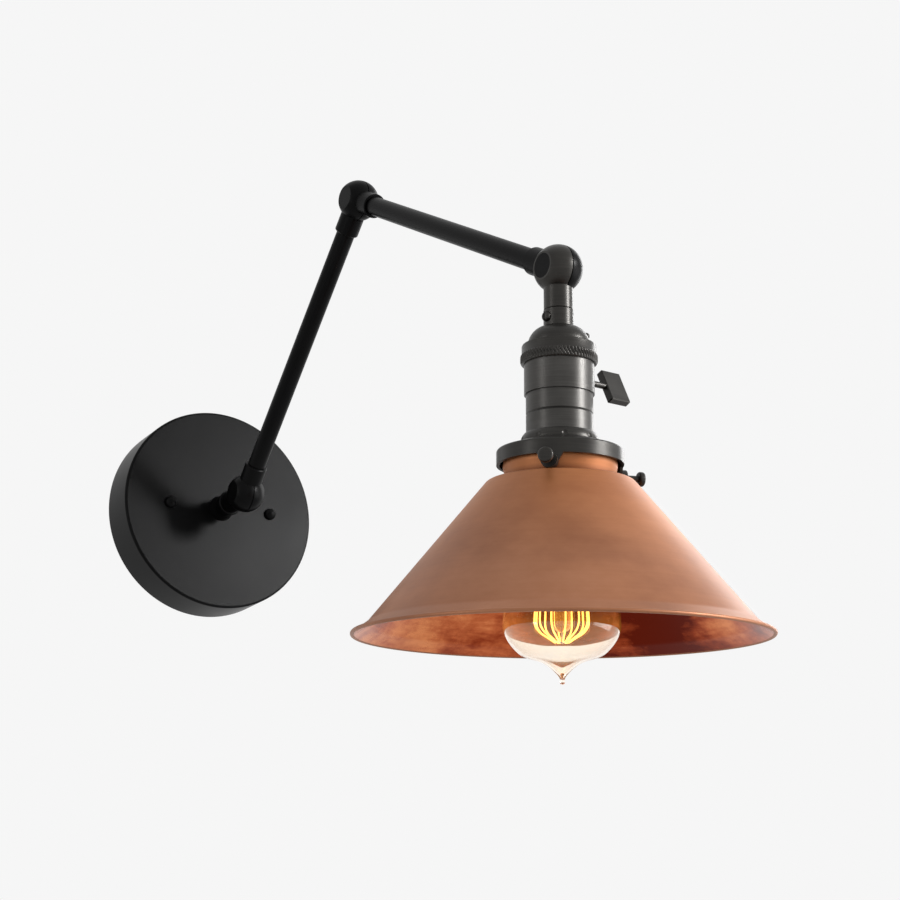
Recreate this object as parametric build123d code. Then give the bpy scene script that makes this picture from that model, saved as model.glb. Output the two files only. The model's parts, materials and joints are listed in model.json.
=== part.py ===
from build123d import *
import math
import os

# Swing arm wall lamp with a copper cone shade. Millimetres and degrees.
# X runs sideways along the wall, Y points into the wall and Z is up.
# The origin is the middle of the canopy's back rim, which lies on the wall.

# Play between pieces
RUNNING_GAP = 0.06      # radial play of a fit that turns or slides
SEAT_GAP = 0.05         # play where one fixed piece sits in another
END_PLAY = 0.1          # play along the axis of a turning piece
SWIVEL_GAP = 0.3        # air between a half ball and the neck that passes it

# Canopy on the wall
CANOPY_D = 141.4
CANOPY_DEPTH = 29
CANOPY_WALL = 1.2
CANOPY_EDGE_R = 1.6
CANOPY_SCREW_SPACING = 76.2
CANOPY_SCREW_D = 4
CANOPY_SCREW_HOLE_PLAY = 0.4
CANOPY_SCREW_HEAD_D = 8.4

# Straps behind the canopy
STRAP_W = 20
STRAP_T = 1.8
STRAP_CORNER_R = 4
BOX_STRAP_L = 112
BOX_SLOT_END = 11.55    # from the strap's end to the middle of a slot
BOX_SLOT_L = 12
BOX_SLOT_W = 5
CANOPY_STRAP_L = 96
EYELET_D = 12
EYELET_WALL = 1.2
EYELET_FLANGE_W = 2
EYELET_FLANGE_T = 1
GROUND_SCREW_OFFSET = 22
GROUND_SCREW_D = 3.8
GROUND_SCREW_HEAD_D = 6.6
GROUND_SCREW_HEAD_T = 2
GROUND_SCREW_TAIL = 0.4     # the screw ends this far short of the wall

# Stem between the canopy and the base swivel
STEM_REACH = 38
NIPPLE_D = 9.7
NIPPLE_BORE_D = 6.6
NIPPLE_ENTRY = 10
NIPPLE_TAIL = 2
STEM_COLLAR_D = 14.6
STEM_FOOT_D = 18
STEM_FOOT_H = 5
STEM_BEAD_D = 17.2
STEM_BEAD_H = 2.4
LOCK_WASHER_D = 18
LOCK_WASHER_T = 1.2
LOCK_NUT_ACROSS = 15
LOCK_NUT_H = 4

# Split-ball swivels
BALL_D = 25.4
HALF_GAP = 0.6
ARM_NECK_D = 15
NECK_REACH = 22.5
NECK_CHAMFER = 0.6
WIRE_BORE_D = 6.4
WIRE_BORE_START = 5
PIVOT_D = 4
PIVOT_FLAT_D = 15
PIVOT_HEAD_D = 12.8
PIVOT_HEAD_T = 2
PIVOT_THREAD_DEPTH = 1.2
PIVOT_SLOT_W = 1.4
PIVOT_SLOT_DEPTH = 0.9
FRICTION_WASHER_D = 9.2

# Arms, measured between swivel centres, with the angles of the rest pose
LOWER_ARM = 218
LOWER_RISE = 42.1       # above the horizontal
UPPER_ARM = 228
UPPER_DROP = 34         # below the horizontal
TUBE_D = 11.8
TUBE_WALL = 1
TUBE_SOCKET_DEPTH = 8
WIRE_D = 2.6
WIRE_SPREAD = 2.8       # between the centres of the two wires
WIRE_TAIL = 12          # left for the joint to the house wires
WIRE_END_GAP = 0.6      # between a wire's end and the ball of the next half

# Lamp head, from the head swivel down
HEAD_LEAN = 6.7         # the head's top leans away from the wall
HEAD_NECK_D = 14.9
CAP_NECK_D = 15.3
CAP_NECK_H = 8.5
CAP_DOME_H = 10
CAP_DOME_D = 31.5
CAP_DOME_SWEEP = 10.1   # how far the dome's curve runs inwards
CAP_SKIRT_H = 6
CAP_WALL = 1
CAP_SEAT_DEPTH = 2
SET_SCREW_D = 3.2
SET_SCREW_HEAD_D = 5.4
SET_SCREW_HEAD_T = 1.9
SET_SCREW_EDGE = 1.3
SET_SCREW_SLOT_W = 0.8
SET_SCREW_ANGLE = -178
RIVET_D = 3.6
RIVET_ANGLE = -30
RIVET_RISE = 34         # place on the dome's curve, from its foot
RING_H = 10
RING_TOP_D = 37.6
RING_BAND_D = 39
RING_BAND_H = 5.3
RING_EDGE = 0.8
RING_GRIP = 4           # depth of the upper shell in the ring
UPPER_SHELL_SHOWN = 15.7
UPPER_SHELL_D = 35.4
LOWER_SHELL_SHOWN = 20.3
SHELL_LAP = 5           # depth of the lower shell in the upper one
SHELL_WALL = 0.8
SHELL_GROOVE_DROP = 10.3
SHELL_GROOVE_W = 1.2
SHELL_GROOVE_DEPTH = 0.45
LINER_WALL = 0.8
SWITCH_BODY_H = 20.3
KEY_DROP = 56.7          # key axis below the head swivel
KEY_ANGLE = 3.5
KEY_SHAFT_D = 3.2
KEY_SHAFT_ENTRY = 10    # depth of the shaft in the switch body
KEY_HOLE_PLAY = 0.5
PADDLE_START = 30.8
PADDLE_W = 13
PADDLE_L = 19.1
PADDLE_T = 4.3
PADDLE_TURN = -25.5
PADDLE_CHAMFER = 0.5
SCREW_SHELL_D = 27.8
SCREW_SHELL_WALL = 0.5
SCREW_SHELL_H = 25
SCREW_SHELL_LIP = 4
CENTRE_CONTACT_D = 8
CENTRE_CONTACT_H = 2.2

# Shade holder
CUP_H = 4.6
CUP_WALL = 0.9
CUP_FOOT_D = 39.4
CUP_FLUTES = 9
CUP_FLUTE_R = 2.6
CUP_FLUTE_DEPTH = 0.8
CUP_FLUTE_H = 1.5       # middle of a flute above the cup's foot
HOLDER_GRIP = 7.5       # depth of the lower shell in the holder
ROOF_FALL = 3.7
ROOF_T = 1.9
COLLAR_D = 63.4
COLLAR_H = 7.6
COLLAR_WALL = 1.5
COLLAR_EDGE_R = 1.2
LUG_COUNT = 3
LUG_ANGLE = -137
LUG_TOP_W = 13
LUG_TIP_R = 4.1
LUG_BOSS = 3            # how far a lug's boss stands out of the collar
LUG_ROOT = 2            # how far a lug runs up into the collar
THUMB_DROP = 4          # thumb screw axis below the collar
THUMB_SHAFT_D = 3.2
THUMB_SHAFT_SHOWN = 6.9
THUMB_HEAD_D = 7.5
THUMB_HEAD_T = 3.2
THUMB_HEAD_EDGE_R = 1.1

# Copper shade
SHADE_WALL = 0.9
SHADE_NECK_D = 55.6
SHADE_NECK_BEND_R = 1.8
SHADE_NECK_H = 14.4
SHADE_NECK_LIP = 0.8
SHADE_NECK_LIP_H = 1.5
SHADE_SHOULDER_D = 73.4
SHADE_SHOULDER_R = 3
SHADE_HEIGHT = 76.6     # from the shoulder to the rim
SHADE_LIP_D = 189
SHADE_LIP_H = 6.2
SHADE_LIP_BEND_R = 8
SHADE_RIM_D = 205
SHADE_RIM_BEAD_R = 1

# Bulb
BULB_L = 141
BULB_D = 57.5
BULB_NECK_D = 24.4
BULB_NECK_L = 16        # straight length of the glass neck
BULB_EQUATOR_RISE = 28.2    # widest place above the tip
BULB_BOWL_D = 43        # three places on the curve from the widest one down to the pip
BULB_BOWL_RISE = 16.3
BULB_WAIST_D = 20
BULB_WAIST_RISE = 11.4
BULB_STEM_D = 6
BULB_STEM_RISE = 6
BULB_PIP_D = 2.6
BULB_PIP_NECK_D = 2.2
BULB_GLASS_T = 0.8
BULB_CONTACT_D = 9
BULB_CONTACT_H = 1.5
BULB_INSULATOR_H = 3.5
BULB_INSULATOR_D = 11
BULB_BASE_D = 26.2
BULB_BASE_H = 20
BULB_BASE_WALL = 0.5
BULB_GLASS_ENTRY = 11   # glass neck inside the base
MOUNT_D = 9.2
MOUNT_TIP_RISE = 24.5   # end of the glass mount above the bulb's tip
MOUNT_PIN_D = 1
FILAMENT_STRANDS = 12
FILAMENT_WIRE_D = 0.6
FILAMENT_TOP_R = 11
FILAMENT_TOP_RISE = 70.5
FILAMENT_MID_R = 14.2
FILAMENT_MID_RISE = 23.2
FILAMENT_FOOT_R = 3.3
FILAMENT_FOOT_RISE = 19.8
FILAMENT_TOP_BEND_R = 2
FILAMENT_MID_BEND_R = 12
FILAMENT_FOOT_BEND_R = 0.75
FILAMENT_SAMPLES = 60   # points on each strand for the test of its gaps
FILAMENT_NEAR = 6       # wire diameters along the wire that count as one stretch
HOOK_D = 0.6
HOOK_GAP = 0.1
HOOK_RING_H = 1.6
HOOK_RING_WALL = 0.6

# Worked-out radii and places
BOX_SCREW_SPACING = BOX_STRAP_L - BOX_SLOT_END * 2
BALL_R = BALL_D / 2
PIVOT_R = PIVOT_D / 2
PIVOT_HEAD_R = PIVOT_HEAD_D / 2
NIPPLE_R = NIPPLE_D / 2
TUBE_R = TUBE_D / 2
PIVOT_FLAT_X = math.sqrt(BALL_R**2 - (PIVOT_FLAT_D / 2) ** 2)
PIVOT_FLOOR_X = PIVOT_FLAT_X - PIVOT_HEAD_T
WIRE_START = BALL_R + WIRE_END_GAP
STEM_COLLAR_L = STEM_REACH - NECK_REACH
STEM_TOP = CANOPY_DEPTH + STEM_COLLAR_L
STEM_NIPPLE_LOW = CANOPY_DEPTH - CANOPY_WALL - LOCK_WASHER_T - LOCK_NUT_H - NIPPLE_TAIL

NECK_END = -NECK_REACH
CAP_SHOULDER = NECK_END - CAP_NECK_H
RING_TOP = CAP_SHOULDER - CAP_DOME_H
RING_BOTTOM = RING_TOP - RING_H
SHELL_STEP = RING_BOTTOM - UPPER_SHELL_SHOWN
CUP_TOP = SHELL_STEP - LOWER_SHELL_SHOWN
CUP_FOOT = CUP_TOP - CUP_H
COLLAR_TOP = CUP_FOOT - ROOF_FALL
COLLAR_BOTTOM = COLLAR_TOP - COLLAR_H
THUMB_Z = COLLAR_BOTTOM - THUMB_DROP
SHADE_TOP = COLLAR_TOP - ROOF_T - END_PLAY
SHADE_SHOULDER = SHADE_TOP - SHADE_NECK_H
SHADE_RIM = SHADE_SHOULDER - SHADE_HEIGHT

CAP_DOME_R = CAP_DOME_D / 2
UPPER_SHELL_R = UPPER_SHELL_D / 2
LOWER_SHELL_R = UPPER_SHELL_R - SHELL_WALL - SEAT_GAP
LINER_R = LOWER_SHELL_R - SHELL_WALL - SEAT_GAP
SWITCH_BODY_R = LINER_R - LINER_WALL - SEAT_GAP
SWITCH_TOP = RING_TOP - CAP_SKIRT_H - END_PLAY
SWITCH_BOTTOM = SWITCH_TOP - SWITCH_BODY_H
SHELL_BOTTOM = CUP_TOP - HOLDER_GRIP
COLLAR_R = COLLAR_D / 2
COLLAR_INNER_R = COLLAR_R - COLLAR_WALL
SHADE_NECK_R = SHADE_NECK_D / 2

BULB_TOP = SWITCH_BOTTOM - CENTRE_CONTACT_H - SEAT_GAP
BULB_TIP = BULB_TOP - BULB_L
BULB_R = BULB_D / 2
BULB_INSULATOR_TOP = BULB_TOP - BULB_CONTACT_H
BULB_BASE_TOP = BULB_INSULATOR_TOP - BULB_INSULATOR_H
BULB_BASE_BOTTOM = BULB_BASE_TOP - BULB_BASE_H
BULB_GLASS_TOP = BULB_BASE_BOTTOM + BULB_GLASS_ENTRY
BULB_NECK_FOOT = BULB_GLASS_TOP - BULB_NECK_L
BULB_EQUATOR = BULB_TIP + BULB_EQUATOR_RISE
BULB_BOWL_Z = BULB_TIP + BULB_BOWL_RISE
BULB_WAIST_Z = BULB_TIP + BULB_WAIST_RISE
BULB_STEM_Z = BULB_TIP + BULB_STEM_RISE
BULB_PIP_R = BULB_PIP_D / 2
BULB_PIP_NECK_R = BULB_PIP_NECK_D / 2
BULB_PIP_TOP = BULB_TIP + BULB_PIP_R + math.sqrt(BULB_PIP_R**2 - BULB_PIP_NECK_R**2)
MOUNT_TIP = BULB_TIP + MOUNT_TIP_RISE
FILAMENT_TOP = BULB_TIP + FILAMENT_TOP_RISE
FILAMENT_MID = BULB_TIP + FILAMENT_MID_RISE
FILAMENT_FOOT = BULB_TIP + FILAMENT_FOOT_RISE
FILAMENT_STEP = 360 / FILAMENT_STRANDS

UP_FROM = (Align.CENTER, Align.CENTER, Align.MIN)
DOWN_FROM = (Align.CENTER, Align.CENTER, Align.MAX)


def step_along(point, turn, length):
    """The point reached from another by going along the +Z of a frame turned about X."""
    lean = math.radians(turn)
    return (point[0], point[1] - length * math.sin(lean), point[2] + length * math.cos(lean))


LOWER_TURN = 90 - LOWER_RISE
UPPER_TURN = 90 + UPPER_DROP
BASE_PIVOT = (0, -(CANOPY_DEPTH + STEM_REACH), 0)
ELBOW_PIVOT = step_along(BASE_PIVOT, LOWER_TURN, LOWER_ARM)
HEAD_PIVOT = step_along(ELBOW_PIVOT, UPPER_TURN, UPPER_ARM)


def at(pivot, turn, shape):
    return Pos(*pivot) * Rot(turn, 0, 0) * shape


def on_wall(shape):
    """Lay a piece, drawn with +Z off the wall, on the wall."""
    return Rot(90, 0, 0) * shape


def on_head(shape):
    return at(HEAD_PIVOT, HEAD_LEAN, shape)


def spin(lines):
    """Turn a closed outline, drawn as radius and height, about Z."""
    return revolve(Plane.XZ * make_face(lines), axis=Axis.Z)


def spin_polygon(*points):
    return spin(Polyline(*points, close=True).edges())


def spin_wall(path, wall):
    """Spin a sheet of even thickness whose outer face is the path."""
    return spin(offset(path, amount=wall, side=Side.RIGHT, closed=True).edges())


def tube(outer_r, inner_r, low, high):
    return spin_polygon((inner_r, low), (outer_r, low), (outer_r, high), (inner_r, high))


def rod_x(radius, start, end):
    return Pos(X=start) * Rot(0, 90, 0) * Cylinder(radius, end - start, align=UP_FROM)


def dome(radius, sweep, height):
    """A solid dome on z = 0 with a flat top of radius minus sweep."""
    flat = radius - sweep
    outline = [
        Line((0, 0), (radius, 0)),
        EllipticalCenterArc((flat, 0), sweep, height, arc_size=90),
        Polyline((flat, height), (0, height), (0, 0)),
    ]
    return spin(Curve(outline).edges())


# Wall side


def make_canopy():
    radius = CANOPY_D / 2
    path = FilletPolyline(
        (NIPPLE_R + SEAT_GAP, CANOPY_DEPTH), (radius, CANOPY_DEPTH), (radius, 0), radius=CANOPY_EDGE_R
    )
    shell = spin_wall(path, CANOPY_WALL)
    hole = Cylinder((CANOPY_SCREW_D + CANOPY_SCREW_HOLE_PLAY) / 2, CANOPY_DEPTH * 2)
    return on_wall(shell - [Pos(X=x) * hole for x in canopy_screw_places()])


def canopy_screw_places():
    return (-CANOPY_SCREW_SPACING / 2, CANOPY_SCREW_SPACING / 2)


def make_canopy_screws():
    head = Pos(Z=CANOPY_DEPTH) * Sphere(CANOPY_SCREW_HEAD_D / 2, arc_size1=0, align=UP_FROM)
    shaft = Pos(Z=CANOPY_DEPTH) * Cylinder(CANOPY_SCREW_D / 2, CANOPY_DEPTH - STRAP_T / 2, align=DOWN_FROM)
    screw = head + shaft
    return Compound([on_wall(Pos(X=x) * screw) for x in canopy_screw_places()])


def strap_blank(length):
    outline = RectangleRounded(length, STRAP_W, STRAP_CORNER_R)
    plate = extrude(outline, STRAP_T)
    return plate - Cylinder(EYELET_D / 2 + SEAT_GAP, STRAP_W)


def make_box_strap():
    strap = strap_blank(BOX_STRAP_L)
    slot = extrude(SlotOverall(BOX_SLOT_L, BOX_SLOT_W), STRAP_T)
    half = BOX_SCREW_SPACING / 2
    strap -= [Pos(X=-half) * slot, Pos(X=half) * slot]
    return on_wall(Rot(0, 0, 90) * strap)


def make_canopy_strap():
    strap = strap_blank(CANOPY_STRAP_L)
    tapped = Cylinder(CANOPY_SCREW_D / 2 + SEAT_GAP, STRAP_W)
    ground = Pos(X=GROUND_SCREW_OFFSET) * Cylinder(GROUND_SCREW_D / 2 + SEAT_GAP, STRAP_W)
    strap -= [Pos(X=x) * tapped for x in canopy_screw_places()] + [ground]
    return on_wall(Pos(Z=STRAP_T) * strap)


def make_strap_eyelet():
    radius = EYELET_D / 2
    bore = radius - EYELET_WALL
    deck = STRAP_T * 2
    flange = tube(radius + EYELET_FLANGE_W, bore, deck, deck + EYELET_FLANGE_T)
    return on_wall(tube(radius, bore, 0, deck) + flange)


def make_ground_screw():
    deck = STRAP_T * 2
    head = Pos(X=GROUND_SCREW_OFFSET, Z=deck) * Cylinder(
        GROUND_SCREW_HEAD_D / 2, GROUND_SCREW_HEAD_T, align=UP_FROM
    )
    shaft = Pos(X=GROUND_SCREW_OFFSET, Z=deck) * Cylinder(
        GROUND_SCREW_D / 2, deck - GROUND_SCREW_TAIL, align=DOWN_FROM
    )
    return on_wall(head + shaft)


def make_stem_nipple():
    high = STEM_TOP + NIPPLE_ENTRY - END_PLAY
    return on_wall(tube(NIPPLE_R, NIPPLE_BORE_D / 2, STEM_NIPPLE_LOW, high))


def make_stem_wires():
    return on_wall(wire_pair(STEM_NIPPLE_LOW - WIRE_TAIL, CANOPY_DEPTH + STEM_REACH - WIRE_START))


def make_lock_washer():
    top = CANOPY_DEPTH - CANOPY_WALL
    return on_wall(tube(LOCK_WASHER_D / 2, NIPPLE_R + SEAT_GAP, top - LOCK_WASHER_T, top))


def make_lock_nut():
    top = CANOPY_DEPTH - CANOPY_WALL - LOCK_WASHER_T
    outline = RegularPolygon(LOCK_NUT_ACROSS / 2, 6, major_radius=False) - Circle(NIPPLE_R + SEAT_GAP)
    return on_wall(Pos(Z=top - LOCK_NUT_H) * extrude(outline, LOCK_NUT_H))


def make_stem_collar():
    bore = NIPPLE_R + SEAT_GAP
    foot = STEM_FOOT_D / 2
    waist = STEM_COLLAR_D / 2
    bead = STEM_BEAD_D / 2
    taper_top = CANOPY_DEPTH + STEM_FOOT_H
    bead_low = STEM_TOP - STEM_BEAD_H
    outline = [
        Line((bore, CANOPY_DEPTH), (foot, CANOPY_DEPTH)),
        Line((foot, CANOPY_DEPTH), (waist, taper_top)),
        Line((waist, taper_top), (waist, bead_low)),
        ThreePointArc((waist, bead_low), (bead, STEM_TOP - STEM_BEAD_H / 2), (waist, STEM_TOP)),
        Line((waist, STEM_TOP), (bore, STEM_TOP)),
        Line((bore, STEM_TOP), (bore, CANOPY_DEPTH)),
    ]
    return on_wall(spin(Curve(outline).edges()))


# Swivels, drawn with the pivot along X and the neck along +Z


def swivel_half(side, neck_d, socket_r, socket_depth):
    """One half of a split ball. Side is 1 for the +X half and -1 for the -X half."""
    room = BALL_D * 2
    neck = Cylinder(neck_d / 2, NECK_REACH, align=UP_FROM)
    neck = chamfer(neck.edges().group_by(Axis.Z)[-1], NECK_CHAMFER)
    other_side = Pos(X=side * (HALF_GAP - room) / 2) * Box(room, room, room)
    half = Sphere(BALL_R) + neck - (Sphere(BALL_R + SWIVEL_GAP) & other_side)
    half -= Pos(X=side * (PIVOT_FLAT_X + room / 2)) * Box(room, room, room)
    recess_floor = PIVOT_FLOOR_X - END_PLAY
    recess = rod_x(PIVOT_HEAD_R + RUNNING_GAP, recess_floor, BALL_R)
    hole = rod_x(PIVOT_R + RUNNING_GAP, 0, BALL_R)
    half -= [Rot(0, 0, 90 - 90 * side) * cut for cut in (recess, hole)]
    wire_bore = Pos(Z=WIRE_BORE_START) * Cylinder(WIRE_BORE_D / 2, NECK_REACH, align=UP_FROM)
    socket = Pos(Z=NECK_REACH - socket_depth) * Cylinder(socket_r + SEAT_GAP, NECK_REACH, align=UP_FROM)
    return half - [wire_bore, socket]


def arm_half(side):
    return swivel_half(side, ARM_NECK_D, TUBE_R, TUBE_SOCKET_DEPTH)


def nipple_half(side, neck_d):
    return swivel_half(side, neck_d, NIPPLE_R, NIPPLE_ENTRY)


def make_pivot_screw():
    """Slotted head on the +X side, thread end in the cap on the -X side."""
    head = rod_x(PIVOT_HEAD_R, PIVOT_FLOOR_X, PIVOT_FLAT_X)
    head -= Pos(X=PIVOT_FLAT_X) * Box(PIVOT_SLOT_DEPTH * 2, PIVOT_HEAD_D, PIVOT_SLOT_W)
    return head + rod_x(PIVOT_R, -PIVOT_FLOOR_X - PIVOT_THREAD_DEPTH, PIVOT_FLOOR_X)


def make_pivot_cap():
    cap = rod_x(PIVOT_HEAD_R, -PIVOT_FLAT_X, -PIVOT_FLOOR_X)
    thread = rod_x(PIVOT_R + SEAT_GAP, -PIVOT_FLOOR_X - PIVOT_THREAD_DEPTH - END_PLAY, 0)
    return cap - thread


def make_friction_washer(parent_side):
    """A thin disc on the flat of the half that carries the pivot screw."""
    thick = HALF_GAP - END_PLAY
    disc = rod_x(FRICTION_WASHER_D / 2, HALF_GAP / 2 - thick, HALF_GAP / 2)
    disc -= rod_x(PIVOT_R + RUNNING_GAP, -HALF_GAP, HALF_GAP)
    return Rot(0, 0, 90 - 90 * parent_side) * disc


def swivel_hardware(name, pivot, turn, parent_side):
    return {
        f"{name}_pivot_screw": at(pivot, turn, make_pivot_screw()),
        f"{name}_pivot_cap": at(pivot, turn, make_pivot_cap()),
        f"{name}_friction_washer": at(pivot, turn, make_friction_washer(parent_side)),
    }


# Arms, drawn from the nearer swivel centre along +Z


def make_arm_tube(length):
    seat = NECK_REACH - TUBE_SOCKET_DEPTH + END_PLAY
    return tube(TUBE_R, TUBE_R - TUBE_WALL, seat, length - seat)


def wire_pair(low, high):
    wire = Pos(Z=low) * Cylinder(WIRE_D / 2, high - low, align=UP_FROM)
    return Compound([Pos(Y=y) * wire for y in (-WIRE_SPREAD / 2, WIRE_SPREAD / 2)])


def make_arm_wires(length):
    return wire_pair(WIRE_START, length - WIRE_START)


# Socket, drawn with the head swivel at the origin


def make_head_nipple():
    low = CAP_SHOULDER - CAP_SEAT_DEPTH
    return tube(NIPPLE_R, NIPPLE_BORE_D / 2, low, NECK_END + NIPPLE_ENTRY - END_PLAY)


def cap_body(inset):
    """The cap's outer form, or its hollow when drawn smaller by the wall."""
    skirt = Pos(Z=RING_TOP) * Cylinder(CAP_DOME_R - inset, CAP_SKIRT_H, align=DOWN_FROM)
    return skirt + Pos(Z=RING_TOP) * dome(CAP_DOME_R - inset, CAP_DOME_SWEEP, CAP_DOME_H - inset)


def socket_cap_form():
    return cap_body(0) + Pos(Z=RING_TOP) * Cylinder(CAP_NECK_D / 2, CAP_DOME_H + CAP_NECK_H, align=UP_FROM)


def make_socket_cap():
    boss = Pos(Z=CAP_SHOULDER - CAP_SEAT_DEPTH) * Cylinder(CAP_NECK_D / 2, CAP_NECK_H, align=UP_FROM)
    cap = socket_cap_form() - (cap_body(CAP_WALL) - boss)
    bore = Pos(Z=RING_TOP) * Cylinder(NIPPLE_R + SEAT_GAP, CAP_DOME_H + CAP_NECK_H, align=UP_FROM)
    screw_hole = rod_x(SET_SCREW_D / 2 + SEAT_GAP, 0, CAP_NECK_D)
    return cap - bore - set_screw_place(screw_hole)


def set_screw_place(shape):
    return Pos(Z=NECK_END - CAP_NECK_H / 2) * Rot(0, 0, SET_SCREW_ANGLE) * shape


def make_set_screw():
    seat = CAP_NECK_D / 2
    head = Pos(X=seat) * Rot(0, 90, 0) * dome(SET_SCREW_HEAD_D / 2, SET_SCREW_EDGE, SET_SCREW_HEAD_T)
    slot = Pos(X=seat + SET_SCREW_HEAD_T) * Box(SET_SCREW_HEAD_T, SET_SCREW_SLOT_W, SET_SCREW_HEAD_D)
    shaft = rod_x(SET_SCREW_D / 2, NIPPLE_R + SEAT_GAP, seat)
    return set_screw_place(head - slot + shaft)


def make_cap_rivet():
    rise = math.radians(RIVET_RISE)
    radius = CAP_DOME_R - CAP_DOME_SWEEP + CAP_DOME_SWEEP * math.cos(rise)
    height = RING_TOP + CAP_DOME_H * math.sin(rise)
    button = Rot(0, 0, RIVET_ANGLE) * Pos(radius, 0, height) * Sphere(RIVET_D / 2)
    return button - socket_cap_form()


def make_clamp_ring():
    top = RING_TOP_D / 2
    band = RING_BAND_D / 2
    band_top = RING_BOTTOM + RING_BAND_H
    shell_bore = UPPER_SHELL_R + SEAT_GAP
    cap_bore = CAP_DOME_R + SEAT_GAP
    grip_top = RING_BOTTOM + RING_GRIP + SEAT_GAP
    return spin_polygon(
        (shell_bore, RING_BOTTOM),
        (band - RING_EDGE, RING_BOTTOM),
        (band, RING_BOTTOM + RING_EDGE),
        (band, band_top - RING_EDGE),
        (top, band_top),
        (top, RING_TOP - RING_EDGE),
        (top - RING_EDGE, RING_TOP),
        (cap_bore, RING_TOP),
        (cap_bore, grip_top),
        (shell_bore, grip_top),
    )


def key_place(shape):
    return Rot(0, 0, KEY_ANGLE) * Pos(Z=-KEY_DROP) * shape


def key_hole():
    return key_place(rod_x((KEY_SHAFT_D + KEY_HOLE_PLAY) / 2, 0, UPPER_SHELL_D))


def make_upper_shell():
    shell = tube(UPPER_SHELL_R, UPPER_SHELL_R - SHELL_WALL, SHELL_STEP, RING_BOTTOM + RING_GRIP)
    return shell - key_hole()


def make_lower_shell():
    shell = tube(LOWER_SHELL_R, LOWER_SHELL_R - SHELL_WALL, SHELL_BOTTOM, SHELL_STEP + SHELL_LAP)
    groove_z = SHELL_STEP - SHELL_GROOVE_DROP
    groove = spin_polygon(
        (LOWER_SHELL_R + SHELL_GROOVE_DEPTH, groove_z - SHELL_GROOVE_W),
        (LOWER_SHELL_R + SHELL_GROOVE_DEPTH, groove_z + SHELL_GROOVE_W),
        (LOWER_SHELL_R - SHELL_GROOVE_DEPTH, groove_z),
    )
    return shell - groove


def make_socket_liner():
    return tube(LINER_R, LINER_R - LINER_WALL, SHELL_BOTTOM, SWITCH_TOP) - key_hole()


def make_switch_body():
    body = Pos(Z=SWITCH_TOP) * Cylinder(SWITCH_BODY_R, SWITCH_BODY_H, align=DOWN_FROM)
    bore = rod_x(KEY_SHAFT_D / 2 + RUNNING_GAP, SWITCH_BODY_R - KEY_SHAFT_ENTRY - END_PLAY, SWITCH_BODY_R * 2)
    return body - key_place(bore)


def make_switch_key():
    shaft = rod_x(KEY_SHAFT_D / 2, SWITCH_BODY_R - KEY_SHAFT_ENTRY, PADDLE_START + PADDLE_W / 2)
    paddle = chamfer(Box(PADDLE_W, PADDLE_T, PADDLE_L).edges(), PADDLE_CHAMFER)
    paddle = Pos(X=PADDLE_START + PADDLE_W / 2) * Rot(PADDLE_TURN, 0, 0) * paddle
    return key_place(shaft + paddle)


def make_screw_shell():
    radius = SCREW_SHELL_D / 2
    low = SWITCH_BOTTOM - SCREW_SHELL_H
    path = Polyline((radius - SCREW_SHELL_LIP, SWITCH_BOTTOM), (radius, SWITCH_BOTTOM), (radius, low))
    return spin_wall(path, SCREW_SHELL_WALL)


def make_centre_contact():
    return Pos(Z=SWITCH_BOTTOM) * Cylinder(CENTRE_CONTACT_D / 2, CENTRE_CONTACT_H, align=DOWN_FROM)


# Shade holder, thumb screws and shade


def make_shade_holder():
    bore = LOWER_SHELL_R + SEAT_GAP
    foot = CUP_FOOT_D / 2
    seat = CUP_TOP - HOLDER_GRIP
    roof_edge = COLLAR_R - COLLAR_EDGE_R
    outline = [
        Line((bore, CUP_TOP), (bore + CUP_WALL, CUP_TOP)),
        TangentArc((foot, CUP_FOOT), (bore + CUP_WALL, CUP_TOP), tangent=(0, 1)),
        Line((foot, CUP_FOOT), (roof_edge, COLLAR_TOP)),
        TangentArc((roof_edge, COLLAR_TOP), (COLLAR_R, COLLAR_TOP - COLLAR_EDGE_R), tangent=(1, 0)),
        Line((COLLAR_R, COLLAR_TOP - COLLAR_EDGE_R), (COLLAR_R, COLLAR_BOTTOM)),
        Line((COLLAR_R, COLLAR_BOTTOM), (COLLAR_INNER_R, COLLAR_BOTTOM)),
        Line((COLLAR_INNER_R, COLLAR_BOTTOM), (COLLAR_INNER_R, COLLAR_TOP - ROOF_T)),
        Line((COLLAR_INNER_R, COLLAR_TOP - ROOF_T), (foot, seat)),
        Line((foot, seat), (bore, seat)),
        Line((bore, seat), (bore, CUP_TOP)),
    ]
    holder = spin(Curve(outline).edges())
    flute = Pos(foot + CUP_FLUTE_R - CUP_FLUTE_DEPTH, 0, CUP_FOOT + CUP_FLUTE_H) * Sphere(CUP_FLUTE_R)
    holder -= [Rot(0, 0, 360 * i / CUP_FLUTES) * flute for i in range(CUP_FLUTES)]
    holder += [Rot(0, 0, angle) * make_lug() for angle in lug_angles()]
    hole = Pos(Z=THUMB_Z) * rod_x(THUMB_SHAFT_D / 2 + RUNNING_GAP, SHADE_NECK_R, COLLAR_D)
    return holder - [Rot(0, 0, angle) * hole for angle in lug_angles()]


def lug_angles():
    return [LUG_ANGLE + 360 * i / LUG_COUNT for i in range(LUG_COUNT)]


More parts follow.
